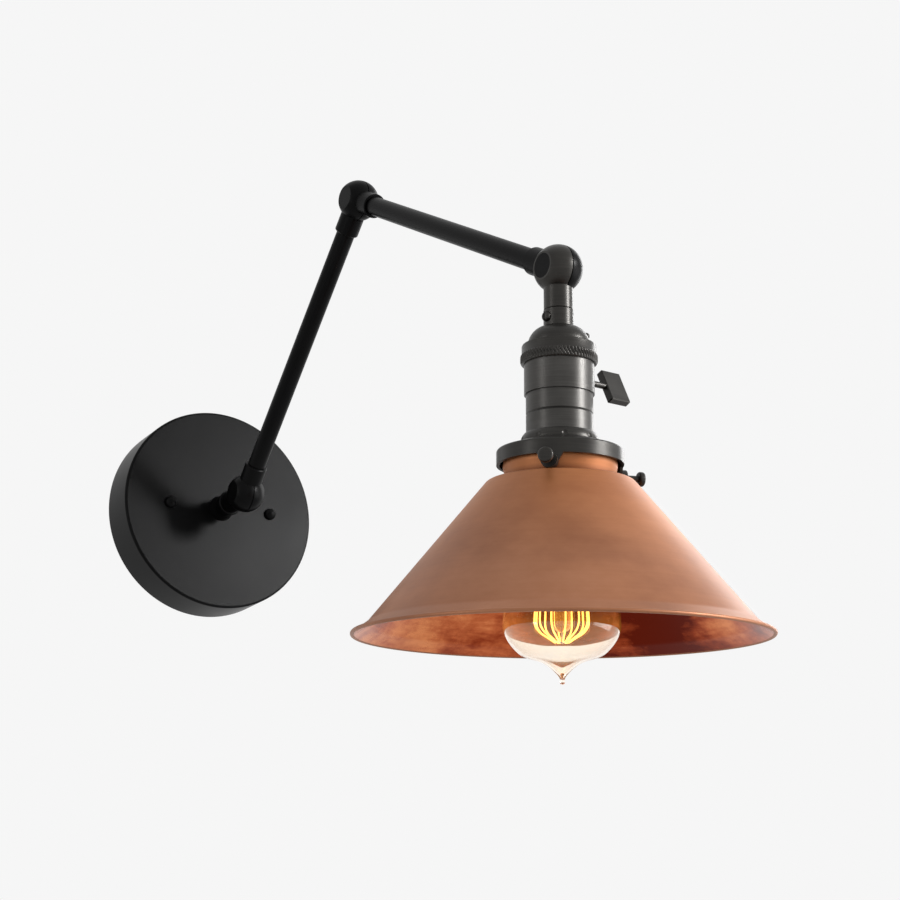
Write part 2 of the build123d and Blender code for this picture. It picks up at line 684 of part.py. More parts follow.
def make_lug():
    """A rounded tab that hangs from the collar, with a boss for its screw, drawn on the +X side."""
    half_top = LUG_TOP_W / 2
    root = COLLAR_BOTTOM + LUG_ROOT
    tab = Polygon(
        (-half_top, root), (-half_top, COLLAR_BOTTOM), (-LUG_TIP_R, THUMB_Z),
        (LUG_TIP_R, THUMB_Z), (half_top, COLLAR_BOTTOM), (half_top, root), align=None,
    )
    tab += Pos(0, THUMB_Z) * Circle(LUG_TIP_R)
    tab = extrude(Plane.YZ * tab, COLLAR_D) & tube(COLLAR_R, COLLAR_INNER_R, THUMB_Z - LUG_TIP_R, root)
    boss = Pos(Z=THUMB_Z) * rod_x(LUG_TIP_R, COLLAR_INNER_R, COLLAR_R + LUG_BOSS)
    return tab + boss


def make_thumb_screw(angle):
    tip = SHADE_NECK_R + END_PLAY
    head_in = COLLAR_R + LUG_BOSS + THUMB_SHAFT_SHOWN
    head = Cylinder(THUMB_HEAD_D / 2, THUMB_HEAD_T, align=UP_FROM)
    head = fillet(head.edges().filter_by(GeomType.CIRCLE), THUMB_HEAD_EDGE_R)
    head = Pos(X=head_in) * Rot(0, 90, 0) * head
    screw = rod_x(THUMB_SHAFT_D / 2, tip, head_in) + head
    return Rot(0, 0, angle) * Pos(Z=THUMB_Z) * screw


def make_shade():
    rim_r = SHADE_RIM_D / 2
    path = FilletPolyline(
        (SHADE_NECK_R, SHADE_TOP),
        (SHADE_NECK_R, SHADE_SHOULDER),
        (SHADE_SHOULDER_D / 2, SHADE_SHOULDER),
        (SHADE_LIP_D / 2, SHADE_RIM + SHADE_LIP_H),
        (rim_r - SHADE_RIM_BEAD_R, SHADE_RIM + SHADE_RIM_BEAD_R),
        radius=[SHADE_NECK_BEND_R, SHADE_SHOULDER_R, SHADE_LIP_BEND_R],
    )
    shade = spin_wall(path, SHADE_WALL)
    shade += Pos(Z=SHADE_RIM + SHADE_RIM_BEAD_R) * Torus(rim_r - SHADE_RIM_BEAD_R, SHADE_RIM_BEAD_R)
    lip_r = SHADE_NECK_R + SHADE_NECK_LIP
    return shade + tube(lip_r, SHADE_NECK_R - SHADE_WALL / 2, SHADE_TOP - SHADE_NECK_LIP_H, SHADE_TOP)


# Bulb


def bulb_form(inset):
    """The bulb's outer form above its pip, or its hollow when drawn smaller by the glass."""
    neck = BULB_NECK_D / 2 - inset
    belly = BULB_R - inset
    bowl = BULB_BOWL_D / 2 - inset
    waist = BULB_WAIST_D / 2 - inset
    stem = BULB_STEM_D / 2 - inset
    foot = BULB_PIP_NECK_R - inset / 2
    foot_z = BULB_PIP_TOP + inset
    outline = [
        Polyline((0, foot_z), (0, BULB_GLASS_TOP), (neck, BULB_GLASS_TOP), (neck, BULB_NECK_FOOT)),
        Spline((neck, BULB_NECK_FOOT), (belly, BULB_EQUATOR), tangents=[(0, -1), (0, -1)]),
        Spline(
            (belly, BULB_EQUATOR),
            (bowl, BULB_BOWL_Z + inset),
            (waist, BULB_WAIST_Z + inset),
            (stem, BULB_STEM_Z + inset),
            (foot, foot_z),
            tangents=[(0, -1), (0, -1)],
        ),
        Line((foot, foot_z), (0, foot_z)),
    ]
    return spin(Curve(outline).edges())


def make_bulb_glass():
    pip = Pos(Z=BULB_TIP + BULB_PIP_R) * Sphere(BULB_PIP_R)
    return bulb_form(0) + pip - bulb_form(BULB_GLASS_T)


def make_bulb_contact():
    return Pos(Z=BULB_TOP) * Cylinder(BULB_CONTACT_D / 2, BULB_CONTACT_H, align=DOWN_FROM)


def make_bulb_insulator():
    return spin_polygon(
        (0, BULB_INSULATOR_TOP),
        (BULB_INSULATOR_D / 2, BULB_INSULATOR_TOP),
        (BULB_BASE_D / 2 - BULB_BASE_WALL, BULB_BASE_TOP),
        (0, BULB_BASE_TOP),
    )


def make_bulb_base():
    radius = BULB_BASE_D / 2
    hole = BULB_INSULATOR_D / 2
    path = Polyline((hole, BULB_BASE_TOP), (radius, BULB_BASE_TOP), (radius, BULB_BASE_BOTTOM))
    return spin_wall(path, BULB_BASE_WALL)


def make_glass_mount():
    """The flared glass stem that closes the bulb's neck and carries the filament."""
    flare_r = BULB_NECK_D / 2 - BULB_GLASS_T - SEAT_GAP
    flare_top = BULB_GLASS_TOP
    radius = MOUNT_D / 2
    outline = [
        Line((0, flare_top), (flare_r, flare_top)),
        TangentArc((flare_r, flare_top), (radius, flare_top - flare_r), tangent=(-1, 0)),
        Line((radius, flare_top - flare_r), (radius, MOUNT_TIP + radius)),
        TangentArc((radius, MOUNT_TIP + radius), (0, MOUNT_TIP), tangent=(0, -1)),
        Line((0, MOUNT_TIP), (0, flare_top)),
    ]
    return spin(Curve(outline).edges())


def filament_points():
    """Strands go down and up in turn round a barrel, as one wire."""
    points = []
    bends = []
    for strand in range(FILAMENT_STRANDS):
        turn = math.radians(strand * FILAMENT_STEP)
        places = [
            (FILAMENT_TOP_R, FILAMENT_TOP, FILAMENT_TOP_BEND_R),
            (FILAMENT_MID_R, FILAMENT_MID, FILAMENT_MID_BEND_R),
            (FILAMENT_FOOT_R, FILAMENT_FOOT, FILAMENT_FOOT_BEND_R),
        ]
        if strand % 2:
            places.reverse()
        for radius, height, bend in places:
            points.append((radius * math.cos(turn), radius * math.sin(turn), height))
            bends.append(bend)
    return points, bends[1:-1]


def least_self_gap(path, wire_d):
    """Least gap between stretches of a wire that aren't next to each other."""
    count = FILAMENT_STRANDS * FILAMENT_SAMPLES
    places = [path.position_at(i / count) for i in range(count + 1)]
    apart = int(count * wire_d * FILAMENT_NEAR / path.length) + 1
    pairs = ((a, b) for a in range(count + 1) for b in range(a + apart, count + 1))
    return min((places[a] - places[b]).length for a, b in pairs) - wire_d


def make_filament():
    points, bends = filament_points()
    path = FilletPolyline(*points, radius=bends)
    section = Plane(origin=path @ 0, z_dir=path % 0) * Circle(FILAMENT_WIRE_D / 2)
    print("filament gap to itself", round(least_self_gap(path, FILAMENT_WIRE_D), 2))
    return sweep(section, path)


def make_lower_hooks():
    """A pin in the end of the glass mount with a hook at each lower bend."""
    low = FILAMENT_FOOT - HOOK_D
    pin = Pos(Z=low) * Cylinder(MOUNT_PIN_D / 2, MOUNT_TIP - low, align=UP_FROM)
    reach = FILAMENT_FOOT_R * math.cos(math.radians(FILAMENT_STEP / 2)) - FILAMENT_WIRE_D / 2 - HOOK_GAP
    hook = Pos(Z=FILAMENT_FOOT) * rod_x(HOOK_D / 2, 0, reach)
    turns = [FILAMENT_STEP * (strand + 0.5) for strand in range(0, FILAMENT_STRANDS, 2)]
    return pin + [Rot(0, 0, turn) * hook for turn in turns]


def make_upper_hooks():
    """A ring on the glass mount with a hook at each upper bend and a lead to each wire end."""
    bore = MOUNT_D / 2 + SEAT_GAP
    ring = tube(bore + HOOK_RING_WALL, bore, FILAMENT_TOP - HOOK_RING_H / 2, FILAMENT_TOP + HOOK_RING_H / 2)
    reach = FILAMENT_TOP_R * math.cos(math.radians(FILAMENT_STEP / 2)) - FILAMENT_WIRE_D / 2 - HOOK_GAP
    hook = Pos(Z=FILAMENT_TOP) * rod_x(HOOK_D / 2, bore + HOOK_RING_WALL / 2, reach)
    lead_end = FILAMENT_TOP_R - FILAMENT_WIRE_D / 2 - HOOK_GAP
    lead = Pos(Z=FILAMENT_TOP) * rod_x(HOOK_D / 2, bore + HOOK_RING_WALL / 2, lead_end)
    turns = [FILAMENT_STEP * (strand + 0.5) for strand in range(1, FILAMENT_STRANDS - 1, 2)]
    lead_turns = [0, FILAMENT_STEP * (FILAMENT_STRANDS - 1)]
    return ring + [Rot(0, 0, turn) * hook for turn in turns] + [Rot(0, 0, turn) * lead for turn in lead_turns]


def wall_pieces():
    return {
        "canopy": make_canopy(),
        "canopy_screws": make_canopy_screws(),
        "box_strap": make_box_strap(),
        "canopy_strap": make_canopy_strap(),
        "strap_eyelet": make_strap_eyelet(),
        "ground_screw": make_ground_screw(),
        "stem_nipple": make_stem_nipple(),
        "stem_wires": make_stem_wires(),
        "lock_washer": make_lock_washer(),
        "lock_nut": make_lock_nut(),
        "stem_collar": make_stem_collar(),
        "base_swivel_wall_half": at(BASE_PIVOT, -90, nipple_half(1, ARM_NECK_D)),
        **swivel_hardware("base", BASE_PIVOT, -90, 1),
    }


def lower_arm_pieces():
    return {
        "base_swivel_arm_half": at(BASE_PIVOT, LOWER_TURN, arm_half(-1)),
        "lower_arm_tube": at(BASE_PIVOT, LOWER_TURN, make_arm_tube(LOWER_ARM)),
        "lower_arm_wires": at(BASE_PIVOT, LOWER_TURN, make_arm_wires(LOWER_ARM)),
        "elbow_swivel_lower_half": at(ELBOW_PIVOT, LOWER_TURN + 180, arm_half(-1)),
        **swivel_hardware("elbow", ELBOW_PIVOT, LOWER_TURN, -1),
    }


def upper_arm_pieces():
    return {
        "elbow_swivel_upper_half": at(ELBOW_PIVOT, UPPER_TURN, arm_half(1)),
        "upper_arm_tube": at(ELBOW_PIVOT, UPPER_TURN, make_arm_tube(UPPER_ARM)),
        "upper_arm_wires": at(ELBOW_PIVOT, UPPER_TURN, make_arm_wires(UPPER_ARM)),
        "head_swivel_arm_half": at(HEAD_PIVOT, UPPER_TURN + 180, arm_half(1)),
        **swivel_hardware("head", HEAD_PIVOT, UPPER_TURN, 1),
    }


def head_pieces():
    pieces = {
        "head_swivel_lamp_half": Rot(180, 0, 0) * nipple_half(-1, HEAD_NECK_D),
        "head_nipple": make_head_nipple(),
        "head_wires": wire_pair(SWITCH_TOP, -WIRE_START),
        "socket_cap": make_socket_cap(),
        "cap_set_screw": make_set_screw(),
        "cap_rivet": make_cap_rivet(),
        "clamp_ring": make_clamp_ring(),
        "socket_upper_shell": make_upper_shell(),
        "socket_lower_shell": make_lower_shell(),
        "socket_liner": make_socket_liner(),
        "switch_body": make_switch_body(),
        "switch_key": make_switch_key(),
        "lamp_screw_shell": make_screw_shell(),
        "centre_contact": make_centre_contact(),
        "shade_holder": make_shade_holder(),
        "shade": make_shade(),
        "bulb_glass": make_bulb_glass(),
        "bulb_base": make_bulb_base(),
        "bulb_insulator": make_bulb_insulator(),
        "bulb_contact": make_bulb_contact(),
        "bulb_glass_mount": make_glass_mount(),
        "bulb_filament": make_filament(),
        "filament_lower_hooks": make_lower_hooks(),
        "filament_upper_hooks": make_upper_hooks(),
    }
    for number, angle in enumerate(lug_angles(), start=1):
        pieces[f"thumb_screw_{number}"] = make_thumb_screw(angle)
    return {name: on_head(shape) for name, shape in pieces.items()}


def main():
    pieces = {**wall_pieces(), **lower_arm_pieces(), **upper_arm_pieces(), **head_pieces()}
    os.makedirs("parts", exist_ok=True)
    for name, shape in pieces.items():
        export_step(shape, f"parts/{name}.step")
    print("pieces", len(pieces))
    print("base pivot", BASE_PIVOT, "elbow pivot", ELBOW_PIVOT, "head pivot", HEAD_PIVOT)


main()
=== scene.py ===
import json
import math

import bmesh
import bpy
from mathutils import Euler, Matrix, Vector


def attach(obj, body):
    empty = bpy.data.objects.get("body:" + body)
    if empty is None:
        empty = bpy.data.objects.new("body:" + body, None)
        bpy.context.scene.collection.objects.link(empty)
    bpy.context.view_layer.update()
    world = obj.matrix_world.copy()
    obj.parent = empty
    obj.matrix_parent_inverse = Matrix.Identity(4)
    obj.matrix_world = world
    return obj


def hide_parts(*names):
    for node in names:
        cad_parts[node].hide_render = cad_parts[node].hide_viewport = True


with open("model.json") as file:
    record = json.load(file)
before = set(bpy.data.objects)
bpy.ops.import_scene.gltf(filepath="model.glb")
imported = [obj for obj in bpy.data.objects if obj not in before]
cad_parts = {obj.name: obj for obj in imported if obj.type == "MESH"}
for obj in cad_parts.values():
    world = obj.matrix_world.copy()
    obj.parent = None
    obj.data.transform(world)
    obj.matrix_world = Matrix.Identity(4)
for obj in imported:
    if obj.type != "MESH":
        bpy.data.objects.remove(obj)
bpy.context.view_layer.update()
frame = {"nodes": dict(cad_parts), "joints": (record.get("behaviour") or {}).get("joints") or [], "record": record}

# Swing arm wall lamp: looks, studio and camera. Metres, in the frame of the solids.
MM = 0.001
SHARP_ANGLE = math.radians(40)
scene = bpy.context.scene

# The lamp head's own frame: its swivel, and the lean of its axis about X.
HEAD_SWIVEL = next(joint for joint in frame["joints"] if joint["name"] == "head_swivel")
HEAD_PIVOT = Vector(HEAD_SWIVEL["pos_m"])
HEAD_LEAN = math.radians(6.7)
HEAD = Matrix.Translation(HEAD_PIVOT) @ Matrix.Rotation(HEAD_LEAN, 4, "X")

# Nodes that show another finish than their slot's.
OWN_FINISH = {
    "socket_upper_shell": "shell_bronze",
    "socket_lower_shell": "shell_bronze",
    "head_swivel_lamp_half": "dark_bronze",
    "bulb_glass_mount": "mount_glass",
}

# Shade, in millimetres in the head's frame: the corners of its outer face as radius and level.
SHADE_SHOULDER_Z = -111.7
SHADE_CORNERS = (
    (27.8, -98.8), (28.7, -103.5), (26.6, -111.2),
    (36.7, SHADE_SHOULDER_Z), (94.5, -182.1), (101.5, -187.3))
SHADE_BENDS = (0, 8, 1.2, 3, 8)
SHADE_T = 0.9
SHADE_TOP_Z = -97.3
SHADE_LIP_R = 28.6
SHADE_BEAD_R = 1        # the rim is rolled round the last corner
SHADE_BEAD_STEPS = 20
SHADE_SEAM = 0.2        # from the bead to where the inner finish starts
SHADE_BEND_STEPS = 8
SHADE_SIDES = 240
INNER_FACE = "inner_face"

# Finish of the shade and its painted shade, in millimetres in the head's frame: levels and radii as spans.
WARM_SPAN = (-160, SHADE_SHOULDER_Z)        # the colour grows warmer from the first up to the second
GROOVE_SHADE_SPAN = (-106.8, SHADE_SHOULDER_Z)    # the neck is darkened by painted shade from the first down to the second
GROOVE_SHADE_REACH = (28.5, 33)       # the radii over which that painted shade ends on the shoulder
PAINTED_DARK_TURN = math.radians(30.23)     # the inner face is darkest with painted shade at this turn about the axis
PAINTED_DARK_START = math.radians(47.52)    # the painted shade starts this far from there
PAINTED_DARK_FULL = math.radians(18.48)     # and is full this far from it

# Patterns along x, y and z of the head's frame: how finely each is drawn, in features to the metre.
TURNING_LINES = (40, 40, 2600)
SPINNING_LINES = (5, 5, 900)
COPPER_CLOUDS = (9, 9, 16)
COPPER_PATCHES = (34, 34, 60)
COPPER_STAINS = (24, 24, 40)
STAIN_SHIFT = (34, 2, 30)       # the stretch of the endless pattern that the stains are taken from
COPPER_STREAKS = (46, 46, 420)

# Clamp ring, in millimetres in the head's frame: radii, levels and the knurl of its band.
RING_SHELL_BORE = 17.75
RING_CAP_BORE = 15.8
RING_TOP_R = 18.8
RING_TOP_Z = -41
RING_SEAT_Z = -46.95
RING_FOOT_Z = -51
RING_EDGE = 0.8
KNURL_LOW = -50.7
KNURL_HIGH = -46
KNURL_VALLEY_R = 18.95
KNURL_DEPTH = 0.6
KNURL_RISE = 0.25       # share of the band over which its ridges rise at either edge
KNURL_RIDGES = 68
KNURL_STEPS = 8         # mesh steps across one ridge
KNURL_ROWS = 12
KNURL_LEAN = math.radians(27)

# Filament, in millimetres in the head's frame: radius, level and bend of a strand's places.
FILAMENT_STRANDS = 12
FILAMENT_PLACES = ((11, -140.15, 2), (13.6, -184.4, 8), (3.5, -190.85, 0.75))
FILAMENT_WIRE_R = 0.42
FILAMENT_BEND_STEPS = 8
FILAMENT_SIDES = 8

# Bulb glass, in millimetres in the head's frame: places on its outline as radius and level.
GLASS_TIP_Z = -210.65
GLASS_NECK_R = 12.2
GLASS_TOP_Z = -83.65
GLASS_NECK_FOOT_Z = -99.65
GLASS_BELLY = (28.75, -182.45)
GLASS_LOWER = ((21.5, -195.4), (9, -200.5), (3.2, -205.2), (1.1, -208.66))
GLASS_PIP_R = 1.3
GLASS_T = 0.8
GLASS_STEPS = 14        # rows on each stretch of the outline
GLASS_SIDES = 144
PAINTED_GLOW_SPAN = (-174, -183)        # no painted glow above the first level, full painted glow below the second

# Camera at the viewing angle of the photograph: its place, and its turn about X, Y and Z in degrees.
CAMERA_LENS = 63.4616   # millimetres, like the width of the sensor
CAMERA_SENSOR = 36
CAMERA_NEAR = 0.05
CAMERA_PLACE = Vector((-0.474012, -0.988892, -0.323988))
CAMERA_TURN = (108.6433, 3.4354, -33.827)

# Lamps: place, target, width, height, power in watts and spread in degrees.
LAMPS = {
    "key": ((1.28, -1.82, 0.5), (0, -0.25, -0.05), 0.4, 0.5, 4.9, 60),
    "low": ((1.3, -1.42, -0.34), (0, -0.42, -0.15), 1.5, 1.0, 4, 90),
    "edge": ((1.3, 0.1, 0.45), (0, -0.35, -0.05), 0.25, 1.3, 0.9, 60),
    "rim": ((-1.15, -0.35, 0.1), (0, -0.35, -0.05), 0.14, 1.2, 0.7, 90),
}

# World and floor: levels of grey.
SKY_SIDE = Vector((0.5, 0.1, 0.85))     # the brightest direction of the soft light
SKY_STOPS = ((0.3, 0.08), (0.6, 0.25), (0.95, 0.62))
BACKGROUND = 0.922
FLOOR_PLACE = (0, -0.3, -0.95)
FLOOR_R = 1.3
FLOOR_SIDES = 96
FLOOR_STOPS = ((0.3, 0.58), (0.7, 0.62))
FLOOR_PALE = 0.86
FLOOR_ROUGHNESS = 0.9
FLOOR_GLOW = 0.36       # lifts the floor towards the paleness of the background

# Main finishes: colours as the stops of a ramp or as its two ends, and least and most roughness.
RAMP_ENDS = (0.3, 0.7)
PAINT_COLOURS = ((0.002, 0.002, 0.0021), (0.004, 0.004, 0.0042))
PAINT_ROUGHNESS = (0.26, 0.38)
PAINT_SPECULAR = 0.06
COPPER_OUTSIDE = (
    (0.36, (0.27, 0.1, 0.043)), (0.5, (0.38, 0.152, 0.069)), (0.64, (0.46, 0.205, 0.105)))
COPPER_WARMER = ((0.36, (0.34, 0.11, 0.03)), (0.64, (0.52, 0.2, 0.07)))
# colour of the painted shade in the crease at the neck's foot, under the holder's collar
COPPER_GROOVE_SHADE = (0.1, 0.022, 0.004)
# Stains of the inner face; their stops are darker and redder than the outside's, partly painted shade and painted
# reflected copper light inside the cone.
COPPER_INSIDE = (
    (0.33, (0.1, 0.009, 0.003)), (0.43, (0.26, 0.04, 0.012)),
    (0.53, (0.47, 0.112, 0.038)), (0.65, (0.7, 0.235, 0.085)))
COPPER_PAINTED_SHADE = (0.03, -0.18)      # how the lightest and the darkest side shift the stains inside: painted light on the one, painted shade on the other
COPPER_METALLIC = (0.45, 1)         # outside and inside
COPPER_ROUGHNESS = (0.42, 0.54)
COPPER_INNER_SHINE = 0.2            # how much less rough the inner face is
GLASS_COLOURS = ((1.0, 0.975, 0.89), (1.0, 0.985, 0.93))
GLASS_ROUGHNESS = (0, 0.02)
GLASS_IOR = 1.47
# Painted glow in the glass of the bulb and of its stem, standing in for the filament's light in the glass: glass
# gives no light of its own.
PAINTED_GLOW_COLOUR = (1, 0.4, 0.05, 1)
BULB_PAINTED_GLOW = 0.045
MOUNT_PAINTED_GLOW = 0.12
WIRE_COLOUR = (0.5, 0.2, 0.05, 1)
HOT_COLOURS = ((1.0, 0.42, 0.06), (1.0, 0.5, 0.1))
HOT_STRENGTH = 3.5

# Plainer finishes: darkest and lightest colour, and for the metals and dull ones the middle roughness.
BRONZE_ENDS = (0.35, 0.65)
BRONZE_METALLIC = 0.6
BRONZE_ROUGHNESS = (0.27, 0.46)
METAL_VARIATION = 0.08
DULL_VARIATION = 0.1
BRONZES = {
    "dark_bronze": ((0.018, 0.0165, 0.0145), (0.034, 0.0315, 0.028)),
    "shell_bronze": ((0.04, 0.0378, 0.0345), (0.066, 0.063, 0.059)),
}
METALS = {
    "zinc_steel": ((0.5, 0.5, 0.5), (0.62, 0.63, 0.64), 0.38),
    "green_screw": ((0.05, 0.25, 0.1), (0.08, 0.34, 0.15), 0.4),
    "bare_brass": ((0.62, 0.42, 0.16), (0.74, 0.54, 0.25), 0.3),
}
DULL_FINISHES = {
    "liner_card": ((0.1, 0.085, 0.07), (0.16, 0.14, 0.115), 0.9),
    "switch_plastic": ((0.02, 0.012, 0.009), (0.035, 0.022, 0.016), 0.5),
    "black_glaze": ((0.008, 0.008, 0.009), (0.014, 0.014, 0.016), 0.2),
    "wire_insulation": ((0.012, 0.012, 0.012), (0.022, 0.022, 0.022), 0.6),
    "washer_fibre": ((0.24, 0.17, 0.1), (0.32, 0.24, 0.15), 0.8),
}


# Camera and studio

def make_camera():
    data = bpy.data.cameras.new("camera")
    data.lens = CAMERA_LENS
    data.sensor_width = CAMERA_SENSOR
    data.clip_start = CAMERA_NEAR
    camera = bpy.data.objects.new("camera", data)
    turn = Euler([math.radians(angle) for angle in CAMERA_TURN])
    camera.matrix_world = Matrix.LocRotScale(CAMERA_PLACE, turn, None)
    scene.collection.objects.link(camera)
    scene.camera = camera


def area_light(name, place, target, width, height, power, spread):
    data = bpy.data.lights.new(name, "AREA")
    data.shape = "RECTANGLE"
    data.size = width
    data.size_y = height
    data.energy = power
    data.spread = math.radians(spread)
    light = bpy.data.objects.new(name, data)
    light.location = place
    aim = Vector(target) - Vector(place)
    light.rotation_euler = aim.to_track_quat("-Z", "Y").to_euler()
    scene.collection.objects.link(light)


def grey(level):
    return (level, level, level)


def grey_stops(stops):
    return [(place, grey(level)) for place, level in stops]


def make_world():
    """Pale background for the camera, gloss and glass, and a soft light from above for the rest."""
    world = bpy.data.worlds.new("studio")
    scene.world = world
    world.use_nodes = True
    n = Nodes(world.node_tree)
    side = n.dot(n.add("ShaderNodeTexCoord").outputs["Generated"], SKY_SIDE.normalized())
    light = n.ramp(n.span(side, 0, 1, start=-1, end=1), grey_stops(SKY_STOPS))
    shade = n.add("ShaderNodeBackground")
    n.link(n.mix(n.seen(), light, grey(BACKGROUND)), shade.inputs["Color"])
    n.link(shade.outputs[0], n.add("ShaderNodeOutputWorld").inputs[0])


def make_floor():
    mesh = bpy.data.meshes.new("floor")
    floor = bpy.data.objects.new("floor", mesh)
    shape = bmesh.new()
    bmesh.ops.create_circle(shape, cap_ends=True, segments=FLOOR_SIDES, radius=FLOOR_R)
    shape.to_mesh(mesh)
    shape.free()
    floor.location = FLOOR_PLACE
    scene.collection.objects.link(floor)
    material, n, shader = new_material("floor_pale")
    grain = n.noise(n.place(), scale=3, detail=2)
    seen = n.seen()
    colour = n.mix(seen, n.ramp(grain, grey_stops(FLOOR_STOPS)), grey(FLOOR_PALE))
    n.link(colour, shader.inputs["Base Color"])
    shader.inputs["Roughness"].default_value = FLOOR_ROUGHNESS
    shader.inputs["Emission Color"].default_value = (1, 1, 1, 1)
    n.link(n.math("MULTIPLY", seen, FLOOR_GLOW), shader.inputs["Emission Strength"])
    mesh.materials.append(material)


# Material helpers

class Nodes:
    """Short calls for building a node tree."""

    MIX_COLOURS = (6, 7)    # the places of the mix node's colour inputs
    MIX_RESULT = 2          # and of its colour output

    def __init__(self, tree):
        self.tree = tree
        tree.nodes.clear()

    def add(self, kind, **settings):
        node = self.tree.nodes.new(kind)
        for name, value in settings.items():
            setattr(node, name, value)
        return node

    def link(self, source, target):
        self.tree.links.new(source, target)

    def put(self, value, socket):
        if isinstance(value, bpy.types.NodeSocket):
            self.link(value, socket)
        else:
            socket.default_value = value

    def math(self, operation, *values):
        node = self.add("ShaderNodeMath", operation=operation)
        for value, socket in zip(values, node.inputs):
            self.put(value, socket)
        return node.outputs[0]

    def blend(self, *shares):
        """The sum of values, each with its own weight."""
        total = 0
        for value, weight in shares:
            total = self.math("MULTIPLY_ADD", value, weight, total)
        return total

    def dot(self, vector, direction):
        node = self.add("ShaderNodeVectorMath", operation="DOT_PRODUCT")
        self.link(vector, node.inputs[0])
        node.inputs[1].default_value = direction
        return node.outputs["Value"]

    def ramp(self, factor, stops):
        node = self.add("ShaderNodeValToRGB")
        elements = node.color_ramp.elements
        while len(elements) < len(stops):
            elements.new(0.5)
        for element, (place, colour) in zip(elements, stops):
            element.position = place
            element.color = (*colour, 1)
        self.link(factor, node.inputs["Fac"])
        return node.outputs["Color"]

    def span(self, factor, low, high, start=0, end=1):
        node = self.add("ShaderNodeMapRange")
        self.link(factor, node.inputs["Value"])
        node.inputs["From Min"].default_value = start
        node.inputs["From Max"].default_value = end
        node.inputs["To Min"].default_value = low
        node.inputs["To Max"].default_value = high
        return node.outputs["Result"]

    def span_mm(self, length, low, high, limits):
        """A span between two lengths that are given in millimetres."""
        return self.span(length, low, high, limits[0] * MM, limits[1] * MM)

    def mix(self, factor, a, b):
        node = self.add("ShaderNodeMix", data_type="RGBA")
        self.put(factor, node.inputs[0])
        for value, i in zip((a, b), self.MIX_COLOURS):
            self.put(value if isinstance(value, bpy.types.NodeSocket) else (*value, 1), node.inputs[i])
        return node.outputs[self.MIX_RESULT]

    def noise(self, vector, scale=1, detail=3, roughness=0.5):
        node = self.add("ShaderNodeTexNoise")
        self.link(vector, node.inputs["Vector"])
        node.inputs["Scale"].default_value = scale
        node.inputs["Detail"].default_value = detail
        node.inputs["Roughness"].default_value = roughness
        return node.outputs["Fac"]

    def stretch(self, vector, scale, location=(0, 0, 0)):
        node = self.add("ShaderNodeMapping")
        self.link(vector, node.inputs["Vector"])
        node.inputs["Location"].default_value = location
        node.inputs["Scale"].default_value = scale
        return node.outputs["Vector"]

    def bump(self, height, shader, strength, distance=0.0002):
        node = self.add("ShaderNodeBump")
        node.inputs["Strength"].default_value = strength
        node.inputs["Distance"].default_value = distance
        self.link(height, node.inputs["Height"])
        self.link(node.outputs["Normal"], shader.inputs["Normal"])

    def place(self):
        return self.add("ShaderNodeTexCoord").outputs["Object"]

    def head_place(self):
        """Object coordinates in the lamp head's own upright frame."""
        node = self.add("ShaderNodeMapping", vector_type="TEXTURE")
        self.link(self.place(), node.inputs["Vector"])
        node.inputs["Location"].default_value = HEAD_PIVOT
        node.inputs["Rotation"].default_value = (HEAD_LEAN, 0, 0)
        return node.outputs["Vector"]

    def level(self, place):
        node = self.add("ShaderNodeSeparateXYZ")
        self.link(place, node.inputs[0])
        return node.outputs["Z"]

    def around(self, place):
        """The distance from the upright axis, and the direction away from it."""
        flat = self.stretch(place, (1, 1, 0))
        radius = self.add("ShaderNodeVectorMath", operation="LENGTH")
        self.link(flat, radius.inputs[0])
        outward = self.add("ShaderNodeVectorMath", operation="NORMALIZE")
        self.link(flat, outward.inputs[0])
        return radius.outputs["Value"], outward.outputs["Vector"]

    def seen(self):
        """1 for what the camera, gloss and glass see, and 0 for the light that falls on surfaces."""
        path = self.add("ShaderNodeLightPath")
        seen = self.math("MAXIMUM", path.outputs["Is Camera Ray"], path.outputs["Is Transmission Ray"])
        return self.math("MAXIMUM", seen, path.outputs["Is Glossy Ray"])


def new_material(name):
    material = bpy.data.materials.new(name)
    material.use_nodes = True
    n = Nodes(material.node_tree)
    shader = n.add("ShaderNodeBsdfPrincipled")
    n.link(shader.outputs[0], n.add("ShaderNodeOutputMaterial").inputs["Surface"])
    return material, n, shader


def two_tone(low, high, ends=RAMP_ENDS):
    """The stops of a ramp between two colours."""
    return list(zip(ends, (low, high)))


# Materials

def powder_coat():
    material, n, shader = new_material("black_powder_coat")
    place = n.place()
    cloud = n.noise(place, scale=26, detail=4)
    grain = n.noise(place, scale=2400, detail=2)
    n.link(n.ramp(cloud, two_tone(*PAINT_COLOURS)), shader.inputs["Base Color"])
    n.link(n.span(n.blend((cloud, 1), (grain, 0.3)), *PAINT_ROUGHNESS), shader.inputs["Roughness"])
    shader.inputs["Specular IOR Level"].default_value = PAINT_SPECULAR
    n.bump(grain, shader, strength=0.06)
    return material


def dark_bronze(name, low, high):
    """Satin dark bronze with fine turning lines."""
    material, n, shader = new_material(name)
    place = n.head_place()
    lines = n.noise(n.stretch(place, TURNING_LINES), detail=2)
    cloud = n.noise(place, scale=60, detail=4)
    tone = n.blend((cloud, 0.6), (lines, 0.4))
    n.link(n.ramp(tone, two_tone(low, high, BRONZE_ENDS)), shader.inputs["Base Color"])
    shader.inputs["Metallic"].default_value = BRONZE_METALLIC
    n.link(n.span(tone, *BRONZE_ROUGHNESS), shader.inputs["Roughness"])
    n.bump(lines, shader, strength=0.1, distance=0.0001)
    return material


